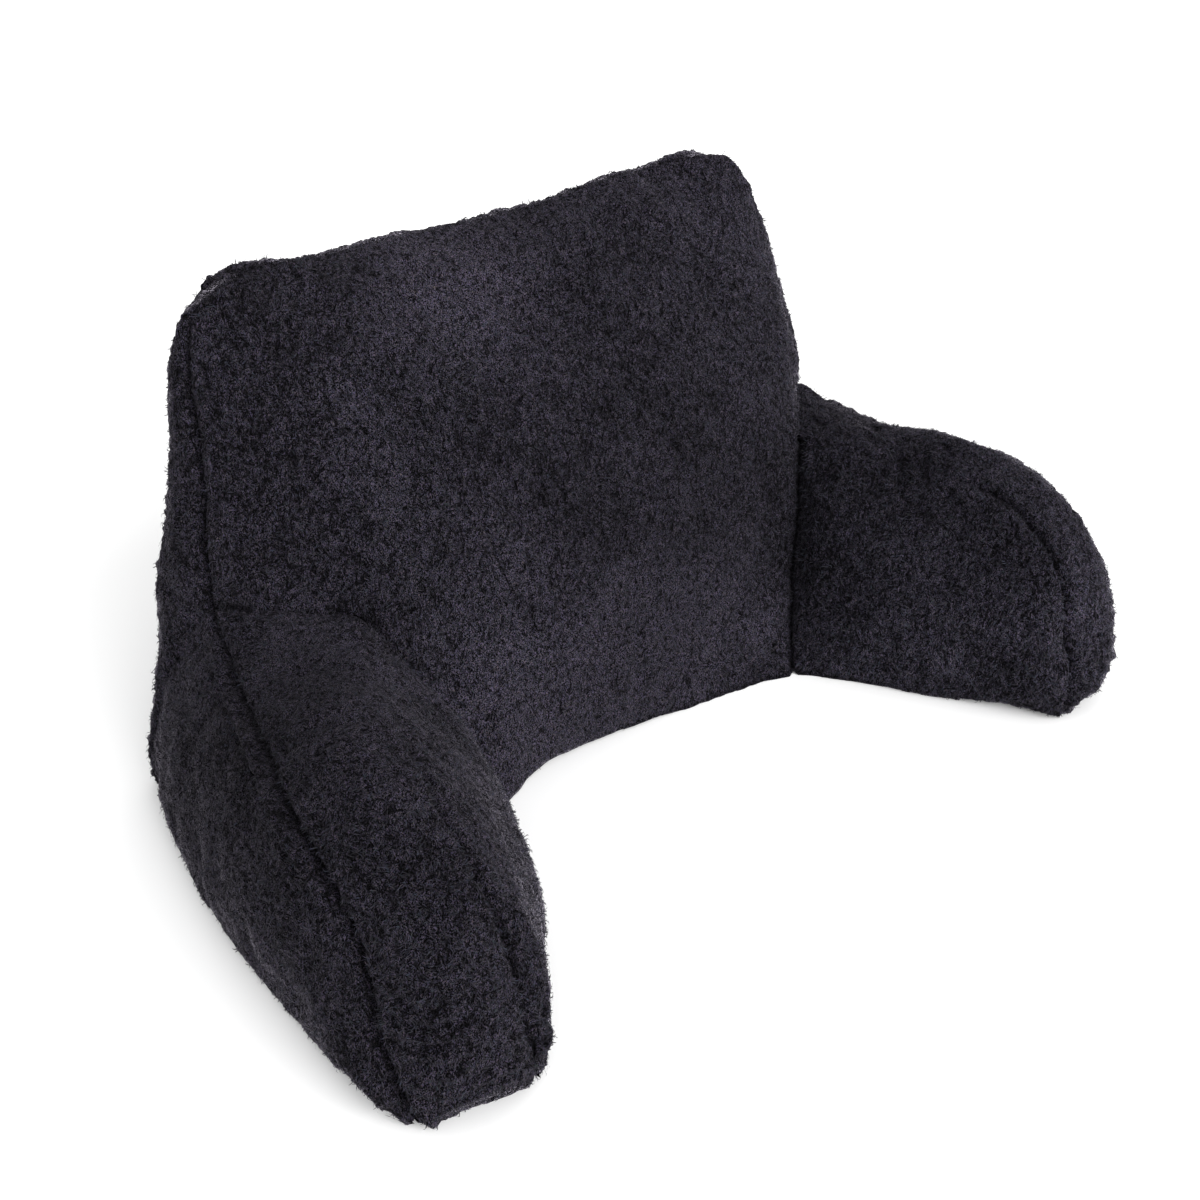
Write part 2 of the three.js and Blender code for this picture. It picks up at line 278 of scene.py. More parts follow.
def arm():
    """The gusset, inner face and outer face of the right arm, a row for each step from its root."""
    foot = np.concatenate([on_root_face(SEAT_HALF_WIDTH), on_root_face(ROOT_OUTER_FOOT_X)])
    feet = refined(np.concatenate([foot[None], ARM_FOOT_ROWS]), ARM_STATION_STEPS)
    seams = refined(ARM_SEAM_ROWS, ARM_STATION_STEPS)
    inner, outer = seams[:, None, :3], seams[:, None, 3:]
    inner_foot, outer_foot = (with_height(feet[:, None, k:k + 2], 0.0) for k in (0, 2))
    t = steps(ARM_ROWS)[:, None, None]
    across = (outer - inner) * [1, 1, 0]
    across /= np.linalg.norm(across, axis=-1, keepdims=True)
    ahead = np.gradient((inner + outer) / 2, axis=0)
    up = np.cross(ahead / np.linalg.norm(ahead, axis=-1, keepdims=True), across)
    drawn_in = fill_out(t, ARM_DRAWN_IN)
    end = fill_out(1 - t, ARM_END_DRAWN_IN)
    height = steps(LOW_ROWS)[None, :, None]
    over = steps(ROOT_COLUMNS)[None, :, None]
    fullness = SWELL_INNER * swell(t ** INNER_FULLEST)
    inner_bulge = under_roll(height) * end * fill_out(t, INNER_ROLL_START) - fullness * swell(height)
    outer_bulge = (SWELL_SIDE * swell(height) - under_roll(height)) * end
    gusset = inner + (outer - inner) * over + up * SWELL_GUSSET * swell(over) * drawn_in * end
    toe = gusset[-1:] * [1, 1, 0] + [0, TOE_ROLL, 0]
    gusset = np.concatenate([gusset, toe])
    inner_face = inner_foot + (inner - inner_foot) * height + across * inner_bulge
    outer_face = outer_foot + (outer - outer_foot) * height + across * outer_bulge
    return gusset, inner_face, outer_face


def under_arm(inner_foot, outer_foot, toe):
    """The underside of the right arm, a row for each step from its root."""
    across = np.linspace(0, 1, len(toe))[None, :, None]
    grid = inner_foot[:, None] * (1 - across) + outer_foot[:, None] * across
    near_end = np.linspace(0, 1, len(grid))[:, None, None] ** UNDER_TOE_POWER
    return grid + (toe - grid[-1]) * near_end


def under_backrest(root, side, front, rear):
    """The underside of the backrest, between its front and rear outlines."""
    near = np.concatenate([(root * MIRROR)[:0:-1], front, root[1:]])
    flank = side[ARM_ROWS:]
    along = np.linspace(0, 1, len(flank))[:, None, None]
    share = np.linspace(0, 1, len(near))[None, :, None]
    left = (flank * MIRROR)[:, None]
    right = flank[:, None]
    ends = left * (1 - share) + right * share
    return ends + (near - ends[:1]) * (1 - along) + (rear - ends[-1:]) * along


def both_halves(half):
    """A grid from the left to the right, from its right half, whose first column is the middle."""
    return np.concatenate([(half * MIRROR)[:, :0:-1], half], 1)


def patches():
    """The whole skin as grids of points. Each ends on a seam, or goes on smoothly into another."""
    upper, lower, rear = front_upper(), front_lower(), back()
    strip = band(upper, rear)
    gusset, inner, outer = arm()
    side = np.concatenate([outer.transpose(1, 0, 2)[:, :0:-1], side_lower()], 1)
    foot_right = under_arm(inner[:, 0], outer[:, 0], gusset[-1])
    below, behind = both_halves(lower), both_halves(rear[:, ::-1])
    skin = {
        "foot_middle": under_backrest(foot_right[0], side[0], below[0], behind[0]),
        "foot_right": foot_right,
        "foot_left": foot_right * MIRROR,
        "front_upper": both_halves(upper),
        "front_lower": below,
        "back": behind,
        "band": np.concatenate([strip, (strip * MIRROR)[-2::-1]]),
    }
    for hand, mirror in zip(HANDS, (1, MIRROR)):
        skin["side_" + hand] = side * mirror
        skin["gusset_" + hand] = gusset * mirror
        skin["inner_" + hand] = inner * mirror
    return {name: sagged(points) + [0, FORWARD, 0] for name, points in skin.items()}


WELD = 2e-5  # points nearer than this are one
# Grids whose rows run the other way round
TURNED = ("back", "side_left", "gusset_right", "inner_right", "foot_left", "foot_middle")
FEET = ("foot_right", "foot_left", "foot_middle")


def welded(skin):
    """One list of points for all grids, and each grid's indices into it."""
    flat = np.concatenate([grid.reshape(-1, 3) for grid in skin.values()])
    near = np.round(flat / WELD).astype(np.int64)
    _, first, back_to = np.unique(near, axis=0, return_index=True, return_inverse=True)
    back_to = back_to.reshape(-1)
    index, start = {}, 0
    for name, grid in skin.items():
        count = grid.shape[0] * grid.shape[1]
        index[name] = back_to[start:start + count].reshape(grid.shape[:2])
        start += count
    return flat[first], index


def faces_of(index, name):
    """A grid's four-sided faces, wound so that they point out."""
    g = index[name]
    quads = np.stack([g[:-1, :-1], g[:-1, 1:], g[1:, 1:], g[1:, :-1]], -1).reshape(-1, 4)
    return quads[:, ::-1] if name in TURNED else quads


def seam_lines(index):
    """The index runs along each kind of seam, from the grids that end there."""
    lines = {kind: [] for kind in SEAMS}
    upper, lower, rear = index["front_upper"], index["front_lower"], index["back"]
    lines["floor"] += [lower[0], rear[0]]
    lines["root_crease"] += [lower[:, 0], lower[:, -1]]
    lines["root_top"] += [upper[0, :ROOT_COLUMNS + 1], upper[0, -ROOT_COLUMNS - 1:]]
    lines["edge"] += [upper[:, 0], upper[:, -1], upper[-1], rear[:, 0], rear[:, -1], rear[-1]]
    for hand in HANDS:
        side, gusset, inner = (index[part + hand] for part in ("side_", "gusset_", "inner_"))
        lines["floor"] += [side[0], gusset[-1], inner[:, 0]]
        lines["gusset_inner"].append(gusset[:-1, 0])
        lines["gusset_outer"].append(gusset[:-1, -1])
    return lines


# The round lower end of each arm: the middle of its edge on the floor, and how far it reaches out there
TOE = np.array([0.3275, -0.2025])
TOE_AHEAD = np.array([0.24, -0.97])
TOE_HALF_WIDTH = 0.044
TOE_REACH = 0.060
TOE_OUT, TOE_OUT_HEIGHT = 0.009, 0.085
TOE_UNDER, TOE_UNDER_HEIGHT = 0.0025, 0.012
TOE_CORNER, TOE_CORNER_HEIGHT = 0.008, 0.030
TOE_NARROWER = 0.05
TOE_POWER = 1.5  # how much all this gathers at the floor
ARMS_BEYOND = 0.1  # X where an arm surely starts


def with_round_toes(points):
    """The arms' ends reach out a little towards the floor, and turn under with round corners."""
    done = points.copy()
    across = np.array([-TOE_AHEAD[1], TOE_AHEAD[0]])
    z = points[:, 2]
    out, under, corner = (np.clip(1 - z / height, 0, 1) ** TOE_POWER
                          for height in (TOE_OUT_HEIGHT, TOE_UNDER_HEIGHT, TOE_CORNER_HEIGHT))
    for hand in (1, -1):
        plan = points[:, :2] * [hand, 1] - TOE - [0, FORWARD]
        ahead, aside = plan @ TOE_AHEAD, plan @ across
        near = smooth_step(1 + ahead / TOE_REACH) * (points[:, 0] * hand > ARMS_BEYOND)
        reach = TOE_OUT * out - TOE_UNDER * under - TOE_CORNER * corner * (aside / TOE_HALF_WIDTH) ** 4
        narrower = -TOE_NARROWER * corner * near * aside
        shift = (reach * near)[:, None] * TOE_AHEAD + narrower[:, None] * across
        done[:, :2] += shift * [hand, 1]
    return done


# In the photo the left arm ends further forward, and the right one further back
LEFT_END_SHIFT, RIGHT_END_SHIFT = (-0.003, -0.006, 0), (-0.004, 0.007, 0)
ARM_END_FADE = (-0.080, 0.110)


def with_uneven_arms(points):
    share = smooth_step((ARM_END_FADE[0] - points[:, 1]) / ARM_END_FADE[1])[:, None]
    return points + share * np.where(points[:, :1] > 0, RIGHT_END_SHIFT, LEFT_END_SHIFT)


# The foot round the seat space stands further forward on its right half: how far, in mm
FOOT_SHIFT = np.array([
    # x, shift
    [-300, 0], [-140, -11], [-100, -14], [-40, -1], [0, 7],
    [30, 11], [100, 14], [160, 14], [240, 11], [270, 7], [300, 0],
]) / 1000
FOOT_SHIFT_WAY = np.array([-0.45, -0.89, 0])
FOOT_SHIFT_HEIGHT = 0.060
FOOT_SHIFT_BACK = (0.10, 0.08)


def with_uneven_foot(points):
    """Moves the lower edge round the seat space."""
    low = np.clip(1 - points[:, 2] / FOOT_SHIFT_HEIGHT, 0, 1) ** 2
    near = smooth_step((FOOT_SHIFT_BACK[0] - points[:, 1]) / FOOT_SHIFT_BACK[1])
    far = np.interp(points[:, 0], FOOT_SHIFT[:, 0], FOOT_SHIFT[:, 1]) * low * near
    return points + far[:, None] * FOOT_SHIFT_WAY


# Where the photo's outline stands further out or in than even filling gives: places, reach and shift, in mm
PUSHES = np.array([
    # x, y, z, reach, dx, dy, dz
    [-322, 194, 165, 45, -3, 1, 0], [-353, 188, 57, 48, 3.5, -0.5, 0], [-275, 201, 352, 28, 2, 0, 0],
    [-199, 211, 397, 38, 0, 0, -2], [-96, 217, 386, 45, 0, 0, 3], [40, 217, 384, 70, 0, 0, 3],
    [127, 217, 386, 45, 0, 0, 3.5], [255, 196, 384, 35, 3, 0, 4], [280, 171, 324, 45, 4.5, -1, 0],
    [322, -30, 180, 50, 1, 0, 4.5], [336, -115, 171, 50, 1.5, 0, 3.5], [344, -185, 115, 45, 2, -1, 0],
    [347, -207, 15, 32, -4, 4, 0], [-232, -150, 65, 36, 3, -1, 0], [-270, -222, 42, 32, -5, 3, 0],
    [-300, -234, 6, 26, 0, -4.5, 0], [-370, 90, 30, 50, 2.5, 0, 0], [-387, -149, 10, 40, -4.5, -1.5, 0],
    [-372, -205, 8, 28, -2, -2, 0],
])


def with_pushes(points):
    done = points.copy()
    for x, y, z, reach, *shift in PUSHES / 1000:
        done += nearness(points, (x, y, z), reach)[:, None] * shift
    return done


# The top edge rolls back, so that its front seam lies behind the crest
CREST_DEPTH = 0.018
CREST_TURN = math.radians(32)
CREST_REACH = (0.018, 0.052)
CREST_ENDS = (0.140, 0.240)


def with_rolled_crest(points, index):
    """Turns the surface near the top seam about a line inside it."""
    seam = points[index["front_upper"][-1]]
    y = points[:, 1] - np.interp(points[:, 0], seam[:, 0], seam[:, 1])
    z = points[:, 2] - np.interp(points[:, 0], seam[:, 0], seam[:, 2]) + CREST_DEPTH
    far = np.hypot(y, z)
    fade = 1 - smooth_step((far - CREST_REACH[0]) / (CREST_REACH[1] - CREST_REACH[0]))
    fade *= 1 - smooth_step((np.abs(points[:, 0]) - CREST_ENDS[0]) / (CREST_ENDS[1] - CREST_ENDS[0]))
    turn = CREST_TURN * fade
    done = points.copy()
    done[:, 1] += y * (np.cos(turn) - 1) + z * np.sin(turn)
    done[:, 2] += z * (np.cos(turn) - 1) - y * np.sin(turn)
    return done


# The cloth, cut a little too large, and the filling's push on it
CLOTH_RULES = {
    "quality": 6, "mass": 0.3, "bending_stiffness": 1.0, "shrink_min": -0.012, "vertex_group_mass": "sewn",
    "use_pressure": True, "uniform_pressure_force": 4.0,
}
CLOTH_FRAMES = 20
CLOTH_CAP = 0.010  # how far it may go
PIN_HEIGHT = 0.010  # up to here the floor holds it


def new_mesh(name, points, faces):
    """A mesh whose faces all have as many corners."""
    mesh = bpy.data.meshes.new(name)
    mesh.vertices.add(len(points))
    mesh.vertices.foreach_set("co", points.astype(np.float32).ravel())
    mesh.loops.add(faces.size)
    mesh.loops.foreach_set("vertex_index", faces.astype(np.int32).ravel())
    mesh.polygons.add(len(faces))
    mesh.polygons.foreach_set("loop_start", np.arange(0, faces.size, faces.shape[1], dtype=np.int32))
    mesh.polygons.foreach_set("use_smooth", np.ones(len(faces), bool))
    mesh.update(calc_edges=True)
    return mesh


def new_object(name, data):
    thing = bpy.data.objects.new(name, data)
    bpy.context.scene.collection.objects.link(thing)
    return thing


def set_attributes(mesh, **table):
    """Numbers, or directions, for each point."""
    for name, values in table.items():
        kind, field = ("FLOAT", "value") if values.ndim == 1 else ("FLOAT_VECTOR", "vector")
        mesh.attributes.new(name, kind, "POINT").data.foreach_set(field, values.astype(np.float32).ravel())


def all_faces(index, names=None):
    return np.concatenate([faces_of(index, name) for name in names or index])


def puffed(points, index):
    """The cover after its filling has pushed it out between the seams, by a cloth simulation."""
    cover = new_object("cover", new_mesh("cover", points, all_faces(index)))
    sewn = np.concatenate([run for runs in seam_lines(index).values() for run in runs])
    held = np.union1d(sewn, np.flatnonzero(points[:, 2] < PIN_HEIGHT))
    cover.vertex_groups.new(name="sewn").add(held.tolist(), 1.0, "REPLACE")
    cloth = cover.modifiers.new("filling", "CLOTH")
    for rule, value in CLOTH_RULES.items():
        setattr(cloth.settings, rule, value)
    cloth.settings.effector_weights.gravity = 0
    cloth.collision_settings.use_collision = False
    cloth.point_cache.frame_start, cloth.point_cache.frame_end = 1, CLOTH_FRAMES
    for step in range(1, CLOTH_FRAMES + 1):
        bpy.context.scene.frame_set(step)
    seen = cover.evaluated_get(bpy.context.evaluated_depsgraph_get())
    places = np.zeros(len(points) * 3, np.float32)
    seen.data.vertices.foreach_get("co", places)
    moved = places.reshape(-1, 3) - points
    bpy.context.scene.frame_set(1)
    bpy.data.objects.remove(cover)
    far = np.linalg.norm(moved, axis=1, keepdims=True)
    return points + moved * CLOTH_CAP / (CLOTH_CAP + far)


def finer(skin):
    """Every grid with REFINE times as many steps, smooth across the rows where one goes on into another."""
    upper, lower, strip = skin["front_upper"], skin["front_lower"], skin["band"]
    middle = slice(ROOT_COLUMNS, -ROOT_COLUMNS)
    below = 2 * upper[0] - upper[1]
    below[middle] = lower[-2]
    halo = {
        "front_upper": (below, None),
        "front_lower": (None, upper[1, middle]),
        "band": (skin["side_right"][-2, -SIDE_COLUMNS - 1:], skin["side_left"][-2, -SIDE_COLUMNS - 1:]),
    }
    for hand, ahead in zip(HANDS, (strip[1], strip[-2])):
        side = skin["side_" + hand]
        above = 2 * side[-1] - side[-2]
        above[-SIDE_COLUMNS - 1:] = ahead
        halo["side_" + hand] = (None, above)
    fine = {}
    for name, grid in skin.items():
        rows = refined(grid, REFINE, *halo.get(name, (None, None)))
        fine[name] = refined(rows.transpose(1, 0, 2), REFINE).transpose(1, 0, 2)
    return fine


def gathered(values, faces, count):
    """The sum of each face's value at every one of its corners."""
    return np.stack([
        sum(np.bincount(faces[:, k], values[:, axis], count) for k in range(faces.shape[1]))
        for axis in range(3)
    ], -1)


def unit(vectors):
    return vectors / (np.linalg.norm(vectors, axis=-1, keepdims=True) + 1e-12)


NORMAL_EVENING = 14


def normals_of(points, faces):
    """The surface's directions out, evened out over their neighbours."""
    a, b, c, d = (points[faces[:, k]] for k in range(4))
    normals = unit(gathered(np.cross(c - a, d - b), faces, len(points)))
    for _ in range(NORMAL_EVENING):
        normals = unit(gathered(sum(normals[faces[:, k]] for k in range(4)), faces, len(points)))
    return normals


def randoms(cell, seed):
    """A number from 0 to 1 for each cell, which has three whole numbers, by a usual integer hash."""
    h = cell.astype(np.uint32) * np.array([73856093, 19349663, 83492791], np.uint32)
    h = h[:, 0] ^ h[:, 1] ^ h[:, 2] ^ np.uint32(seed * 7919 + 17)
    h = (h ^ (h >> np.uint32(16))) * np.uint32(0x7FEB352D)
    h = (h ^ (h >> np.uint32(15))) * np.uint32(0x846CA68B)
    return (h ^ (h >> np.uint32(16))) / 4294967295.0


def noise(places, size, seed):
    """Smooth values from -1 to 1 that change over the given size."""
    q = places / size
    cell = np.floor(q).astype(np.int64)
    t = q - cell
    t = t * t * t * (t * (t * 6 - 15) + 10)
    total = 0
    for corner in np.ndindex(2, 2, 2):
        weight = np.prod(np.where(corner, t, 1 - t), axis=1)
        total = total + weight * randoms(cell + corner, seed)
    return total * 2 - 1


def drift(places, size, seed):
    """Smooth random directions that change over the given size."""
    return np.stack([noise(places, size, seed + k) for k in range(3)], -1)


FOLD_STEEPNESS, FOLD_POWER = 2.6, 0.75


def folds(places, size, seed):
    """0 in narrow, winding creases and 1 on the tops between them."""
    return np.minimum(1, np.abs(noise(places, size, seed)) * FOLD_STEEPNESS) ** FOLD_POWER


def distances(points, line, reach):
    """How far each point is from the points of a line, up to reach."""
    tree = kdtree.KDTree(len(line))
    for i, place in enumerate(line):
        tree.insert(place, i)
    tree.balance()
    low, high = line.min(0) - reach, line.max(0) + reach
    near = np.flatnonzero(((points > low) & (points < high)).all(1))
    far = np.full(len(points), reach)
    far[near] = [min(reach, tree.find(place)[2]) for place in points[near]]
    return far


# Depth and half-width of the groove at each kind of seam, and how far its two lips stand up
SEAMS = {
    "floor": (0.0015, 0.0040, 0.0),
    "root_crease": (0.0056, 0.0032, 0.0005),
    "root_top": (0.0052, 0.0032, 0.0010),
    "gusset_outer": (0.0060, 0.0034, 0.0020),
    "gusset_inner": (0.0060, 0.0034, 0.0016),
    "edge": (0.0056, 0.0034, 0.0016),
}
SEAM_VALLEY = 0.35  # depth of the wide valley round a seam, as a share of its groove
SEAM_VALLEY_WIDER = 2.6
INNER_SEAM_FAINT = 0.3  # what is left of the groove along the arms' inner seams, near their roots
INNER_SEAM_FADE = (-0.065, 0.070)
SEAM_REACH = 0.025
# Where its lips stand, and where the pile starts to draw in, in half-widths of the groove
LIP_PLACE, SEAM_CLEAR = 2.4, 1.3
SEAM_PILE = 0.45  # share of the pile's height that is left in a seam
SEAM_SHADE = 0.15  # painted shade: how much darker than the deepest gap a seam is painted

# The pile: size, height and seed of its clumps and curls, and of the ups and downs of the cloth under it
CLUMP_SIZE, CLUMP_HEIGHT, CLUMP_SEED = 0.0060, 0.0034, 12
CURL_SIZE, CURL_HEIGHT, CURL_SEED = 0.0032, 0.0018, 13
LUMP_SIZE, LUMP_HEIGHT, LUMP_SEED = 0.055, 0.0020, 31
# How the cloth's seams and the pile's clumps wander: size, width and seed
WANDER = ((0.028, 0.0014, 71), (0.011, 0.0007, 76))
WANDER_FROM_FLOOR = 0.01  # height up to which the floor holds the cloth back
PILE_WANDER = ((0.012, 0.004, 1), (0.005, 0.0016, 6))
CLUMP_UNEVEN, GROUP_SIZE, GROUP_SEED = 0.3, 1.7, 15  # clumps differ in height, in groups
CLUMP_SHARE = 0.62  # the clumps' share of the painted shade, next to the curls'
PILE_MIDDLE = 0.7  # height in the pile where the bare surface lies
PILE_SHALLOW = 0.3  # share of its height that is left where it has no gaps
# How deep the pile's gaps go, and how much that varies
GAP_DEPTH, GAP_VARIES, GAP_SIZE, GAP_SEED = 0.9, 0.3, 0.011, 14
GAP_FLAT, GAP_LEAST = 0.75, 0.12  # how much less where it lies flat, and the least
LOWEST, LOWEST_FIBRE = 0.0004, 0.0006  # the nearest to the floor

# Soft creases in the cover: depth and half-width, then places along them in mm
CREASES = (
    (0.0026, 0.009, (
        (-301, 165, 253), (-287, 142, 262), (-267, 120, 260), (-248, 107, 253), (-221, 98, 252))),
    (0.0045, 0.012, ((-177, 34, 137), (-170, 22, 103), (-161, 4, 55), (-157, -11, 15))),
    (0.0060, 0.0036, ((-377, -78, 117), (-374, -101, 118), (-370, -119, 122), (-367, -134, 128))),
)
CREASE_STEPS, CREASE_REACH = 12, 3  # the reach in half-widths
# Small folds across the round end of each arm's gusset, and how they waver and break off: size, width, seed
RIPPLE_STEP, RIPPLE_HEIGHT, RIPPLE_TOP, RIPPLE_FADE = 0.0125, 0.0024, 0.115, 0.03
RIPPLE_WAVER = (0.03, 0.004, 91)
RIPPLE_BREAK_SIZE, RIPPLE_BREAK_SEED = 0.02, 92
# A roll of the left arm's outer panel along its seam with the gusset, between two of the seam's rows
ROLL_ROWS = (36, 152)
ROLL_MIDDLE, ROLL_HALF_WIDTH, ROLL_HEIGHT = 0.0095, 0.0048, 0.0060
ROLL_FOOT, ROLL_FOOT_HALF_WIDTH, ROLL_FOOT_DEPTH = 0.0190, 0.0050, 0.0030

# The foot round the seat space, whose lowest edge is darkened as painted shade
SEAT_GRIDS = ("front_lower", "inner_right", "inner_left")
SHADED_FOOT, SHADED_LEAST = 0.007, 0.1

# How flat the pile lies usually, how much that varies, over what size, with what seed
FLAT_USUAL, FLAT_VARIES, FLAT_SIZE, FLAT_SEED = 0.35, 0.3, 0.045, 61
FLAT_MORE = 0.9
# Where it lies flatter by that, and so is also painted lighter: a place and how far round it, in mm
BRUSHED = np.array([
    [-69, 170, 360, 60], [-120, 15, 60, 80], [-30, 10, 60, 80],
    [60, 20, 70, 70], [-296, -29, 185, 55], [-285, 40, 180, 50],
]) / 1000


def brushed(places):
    """From 0 to 1, how far the pile lies flat."""
    found = FLAT_USUAL + FLAT_VARIES * noise(places, FLAT_SIZE, FLAT_SEED)
    for *middle, reach in BRUSHED:
        found = found + FLAT_MORE * nearness(places, middle, reach)
    return np.clip(found, 0, 1)


# Where the pile is painted paler, as painted light, or darker, as painted shade: a place and how far round
# it, in mm, and by how many thousandths
PAINTED_LIGHT_AND_SHADE = np.array([
    [94, 43, 183, 90, -340], [14, 11, 60, 110, -300], [-304, 0, 184, 75, -440],
    [200, -100, 35, 80, 420], [287, -211, 92, 70, 450], [180, 135, 330, 80, 140],
    [-360, 30, 100, 120, -140],
]) / 1000


def nap(places):
    """Painted light and shade on the pile: how much paler or darker its colour is made, where 1 is usual."""
    found = np.ones(len(places))
    for *middle, reach, share in PAINTED_LIGHT_AND_SHADE:
        found *= 1 + share * nearness(places, middle, reach)
    return found


# The corners between the seat and the arms, how far they reach, and how much less along Y and Z
SEAT_CORNER, SEAT_CORNER_REACH = np.array([0.205, 0.010, 0.160]), 0.085
SEAT_CORNER_LONG = np.array([1, 0.6, 0.5])


def backlit(places):
    """1 on the pile that stands against the bright surroundings, and 0 in the corners of the seat."""
    apart = (np.abs(places * [1, 0, 0]) + places * [0, 1, 1] - SEAT_CORNER) * SEAT_CORNER_LONG
    return 1 - nearness(apart, 0, SEAT_CORNER_REACH)


def pile(places, flat):
    """Height of the clumps and of the curls, from 0 to 1, and how deep their gaps go."""
    q = places
    for size, width, seed in PILE_WANDER:
        q = q + width * drift(places, size, seed)
    uneven = CLUMP_UNEVEN * noise(q, CLUMP_SIZE * GROUP_SIZE, GROUP_SEED)
    clump = folds(q, CLUMP_SIZE, CLUMP_SEED) * (1 - CLUMP_UNEVEN + uneven)
    curl = folds(q, CURL_SIZE, CURL_SEED)
    depth = GAP_DEPTH + GAP_VARIES * noise(places, GAP_SIZE, GAP_SEED) - GAP_FLAT * flat
    return clump, curl, np.clip(depth, GAP_LEAST, 1)


# The arms' ends are evened out: how often, below what height, ahead of what Y, and how much upwards
EVENING_ROUNDS, EVENING_HEIGHT, EVENING_AHEAD, EVENING_UP = 18, 0.020, -0.150, 0.3


def evened_feet(points, faces):
    share = smooth_step(1 - points[:, 2] / EVENING_HEIGHT) * (points[:, 1] < EVENING_AHEAD)
    share = share[:, None] * [1, 1, EVENING_UP]
    near = faces[(share[faces, 0] > 0).any(1)]
    count = np.maximum(1, sum(np.bincount(near[:, k], minlength=len(points)) for k in range(4)))[:, None]
    for _ in range(EVENING_ROUNDS):
        middle = gathered(points[near].mean(1), near, len(points)) / count
        points = points + share * (middle - points)
    return points


def cover_folds(points, index):
    """Heights of the cover's creases, ripples and roll."""
    form = np.zeros(len(points))
    for depth, width, places in CREASES:
        far = distances(points, refined(np.array(places) / 1000, CREASE_STEPS), CREASE_REACH * width)
        form -= depth * np.exp(-(far / width) ** 2)
    size, width, seed = RIPPLE_WAVER
    for hand in HANDS:
        ends = np.unique(index["gusset_" + hand])
        z = points[ends, 2]
        wave = np.sin((z + width * noise(points[ends], size, seed)) / RIPPLE_STEP * 2 * math.pi)
        broken = 0.5 + 0.5 * noise(points[ends], RIPPLE_BREAK_SIZE, RIPPLE_BREAK_SEED)
        form[ends] += RIPPLE_HEIGHT * wave * broken * smooth_step((RIPPLE_TOP - z) / RIPPLE_FADE)
    side = np.unique(index["side_left"])
    seam = points[index["gusset_left"][ROLL_ROWS[0]:ROLL_ROWS[1], -1]]
    far = distances(points[side], seam, SEAM_REACH)
    form[side] += ROLL_HEIGHT * np.exp(-((far - ROLL_MIDDLE) / ROLL_HALF_WIDTH) ** 2)
    form[side] -= ROLL_FOOT_DEPTH * np.exp(-((far - ROLL_FOOT) / ROLL_FOOT_HALF_WIDTH) ** 2)
    return form


def covered(points, index):
    """The finished surface: points, directions out, the pile's painted shade, which follows its height and
    darkens its gaps, and how flat the pile lies.
    """
    faces = all_faces(index)
    for size, width, seed in WANDER:
        step = width * drift(points, size, seed)
        step[:, 2] *= np.clip(points[:, 2] / WANDER_FROM_FLOOR, 0, 1)
        points = points + step
    points = evened_feet(points, faces)
    normals = normals_of(points, faces)
    groove, lips = np.zeros((2, len(points)))
    clear = np.ones(len(points))
    for kind, (depth, width, lip) in SEAMS.items():
        line = np.concatenate([points[run] for run in seam_lines(index)[kind]])
        far = distances(points, line, SEAM_REACH)
        tight = 1.0
        if kind == "gusset_inner":
            front = smooth_step((INNER_SEAM_FADE[0] - points[:, 1]) / INNER_SEAM_FADE[1])
            tight = INNER_SEAM_FAINT + (1 - INNER_SEAM_FAINT) * front
        valley = SEAM_VALLEY * np.exp(-(far / (SEAM_VALLEY_WIDER * width)) ** 2)
        groove = np.maximum(groove, depth * tight * np.maximum(np.exp(-(far / width) ** 2), valley))
        lips = np.maximum(lips, tight * lip * np.exp(-((far - LIP_PLACE * width) / width) ** 2))
        clear = np.minimum(clear, 1 - tight * (1 - np.clip(far / (SEAM_CLEAR * width), 0, 1)))
    form = LUMP_HEIGHT * noise(points, LUMP_SIZE, LUMP_SEED) + cover_folds(points, index)
    flat = brushed(points)
    clump, curl, depth = pile(points, flat)
    height = CLUMP_HEIGHT * (clump - PILE_MIDDLE) + CURL_HEIGHT * (curl - PILE_MIDDLE)
    height = height * (PILE_SHALLOW + (1 - PILE_SHALLOW) * depth)
    height *= SEAM_PILE + (1 - SEAM_PILE) * clear
    lift = lips * clear - groove + height + form
    done = points + normals * lift[:, None]
    done[:, 2] = np.maximum(done[:, 2], LOWEST)
    # Painted shade: the pile is coloured darker where it is low, in the gaps between clumps and curls
    level = 1 - (1 - (CLUMP_SHARE * clump + (1 - CLUMP_SHARE) * curl)) * depth
    # Painted shade: darker still in the seams
    level = level * clear - SEAM_SHADE * (1 - clear)
    # Painted shade: the pile's colour darkens towards the floor round the seat space
    inside = np.unique(np.concatenate([index[name].ravel() for name in SEAT_GRIDS]))
    level[inside] *= np.clip(points[inside, 2] / SHADED_FOOT, SHADED_LEAST, 1)
    return done, normals, level, flat


# The panels, and the grids that each is made of
BACKREST_PANELS = {
    "front_panel": ("front_upper", "front_lower"),
    "back_panel": ("back",),
    "side_and_top_strip": ("band", "side_right", "side_left"),
}
ARM_PANELS = {
    "gusset_right": ("gusset_right",),
    "gusset_left": ("gusset_left",),
    "arm_inner_right": ("inner_right",),
    "arm_inner_left": ("inner_left",),
}


def panel_piece(name, faces, points, normals, level, flat):
    """One panel of the cover as an object of its own."""
    used, own = np.unique(faces, return_inverse=True)
    mesh = new_mesh(name, points[used], own.reshape(faces.shape))
    # The pile's painted shade and the painted patches of light and shade reach the colour as attributes
    set_attributes(
        mesh, pile=level[used], brushed=flat[used], outward=normals[used], backlit=backlit(points[used]),
        nap=nap(points[used]))
    return new_object(name, mesh)


